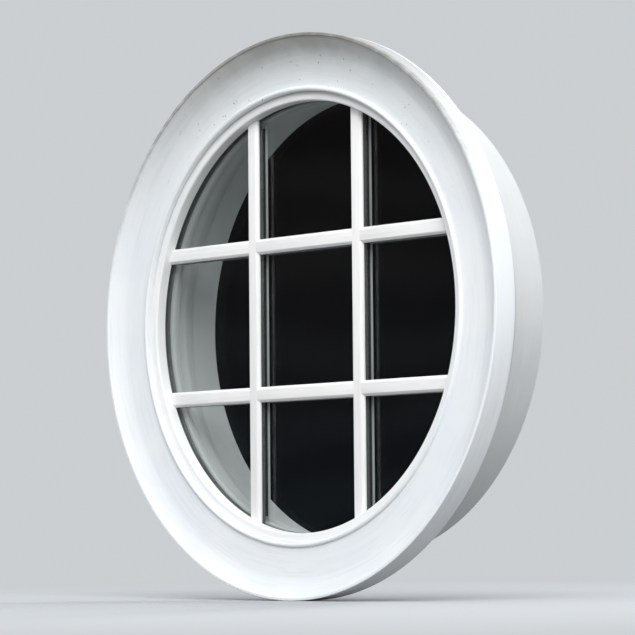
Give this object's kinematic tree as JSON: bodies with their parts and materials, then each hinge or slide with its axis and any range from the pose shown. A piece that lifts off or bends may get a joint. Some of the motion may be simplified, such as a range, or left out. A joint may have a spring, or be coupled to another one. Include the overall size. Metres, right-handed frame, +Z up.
{
  "type": "oculus window",
  "caption": "Fixed round window with a coved white casing, deep frame and jamb liner, sealed double glazing and lapped glazing bars in a square grid.",
  "frame": {"origin": "on the axis of the window, in the plane where the back of the exterior casing bears on the wall", "axes": "+Y along the window's axis towards the room, -Y outdoors, +X to the right seen from outdoors, +Z up"},
  "size_m": [1.0958, 0.217, 1.096],
  "materials": {
    "white_painted_wood": "smooth white exterior paint",
    "clear_glass": "clear float glass",
    "black_butyl": "matt black butyl",
    "grey_gasket": "matt grey glazing tape",
    "block_rubber": "matt black rubber",
    "bonding_tape": "grey foam tape",
    "dark_bar_metal": "satin dark paint",
    "tenon_wood": "bare beech",
    "pin_steel": "plain steel"
  },
  "bodies": {
    "root": {"exterior_casing": "white_painted_wood", "window_frame": "white_painted_wood", "jamb_liner": "white_painted_wood", "glazing_bead": "white_painted_wood", "interior_stop": "white_painted_wood", "outer_pane": "clear_glass", "inner_pane": "clear_glass", "edge_spacer": "black_butyl", "glazing_gasket": "grey_gasket", "setting_blocks": "block_rubber", "centring_blocks": "block_rubber", "exterior_bar_tapes": "bonding_tape", "interior_bar_tapes": "bonding_tape", "liner_tenons": "tenon_wood", "bead_pins": "pin_steel", "stop_pins": "pin_steel", "casing_nails": "pin_steel", "exterior_bar_left_upright": "white_painted_wood", "exterior_bar_right_upright": "white_painted_wood", "exterior_bar_upper_level": "white_painted_wood", "exterior_bar_lower_level": "white_painted_wood", "interior_bar_left_upright": "white_painted_wood", "interior_bar_right_upright": "white_painted_wood", "interior_bar_upper_level": "white_painted_wood", "interior_bar_lower_level": "white_painted_wood", "cavity_bar_left_upright": "dark_bar_metal", "cavity_bar_right_upright": "dark_bar_metal", "cavity_bar_upper_level": "dark_bar_metal", "cavity_bar_lower_level": "dark_bar_metal"}
  },
  "joints": []
}
